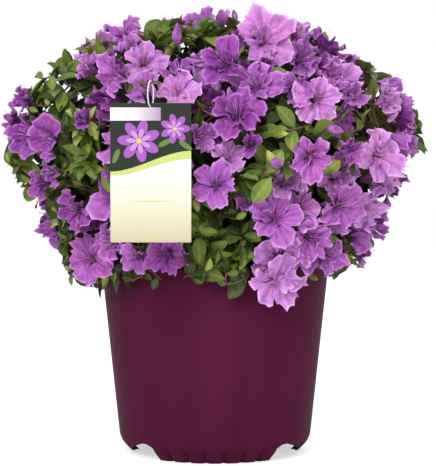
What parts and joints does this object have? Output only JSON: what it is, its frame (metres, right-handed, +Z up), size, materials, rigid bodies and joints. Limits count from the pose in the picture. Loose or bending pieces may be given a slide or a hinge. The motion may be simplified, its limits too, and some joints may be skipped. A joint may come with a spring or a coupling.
{
  "type": "potted azalea",
  "caption": "Flowering azalea in a tapered nursery pot: a dense rounded crown of lilac-purple blooms and small green leaves on short woody boughs, with a plain hanging plant tag.",
  "frame": {"origin": "centre of the pot's flat underside, which is the mount base", "axes": "+Z is up, along the longest extent; -Y is the front, the side of the hanging tag, and +X is to the right seen from there"},
  "size_m": [0.5276, 0.4846, 0.5534],
  "materials": {
    "container": "satin moulded plastic, deep plum",
    "mix": "damp bark-based potting mix",
    "bark": "thin rough bark",
    "leaf": "semi-matte green leaf",
    "blossom": "soft lilac-purple petal",
    "tag": null,
    "loop": "white elastic cord"
  },
  "bodies": {
    "root": {"pot": "container", "potting_mix": "mix", "trunk": "bark", "bough_low_1": "bark", "bough_low_2": "bark", "bough_low_3": "bark", "bough_low_4": "bark", "bough_low_5": "bark", "bough_low_6": "bark", "bough_low_7": "bark", "bough_high_1": "bark", "bough_high_2": "bark", "bough_high_3": "bark", "bough_high_4": "bark", "bough_high_5": "bark", "bough_top": "bark", "mass_low_1": "leaf", "mass_low_2": "leaf", "mass_low_3": "leaf", "mass_low_4": "leaf", "mass_low_5": "leaf", "mass_low_6": "leaf", "mass_low_7": "leaf", "mass_high_1": "blossom", "mass_high_2": "blossom", "mass_high_3": "blossom", "mass_high_4": "blossom", "mass_high_5": "blossom", "mass_top": "blossom", "tag_card": "tag", "tag_loop": "loop"}
  },
  "joints": []
}
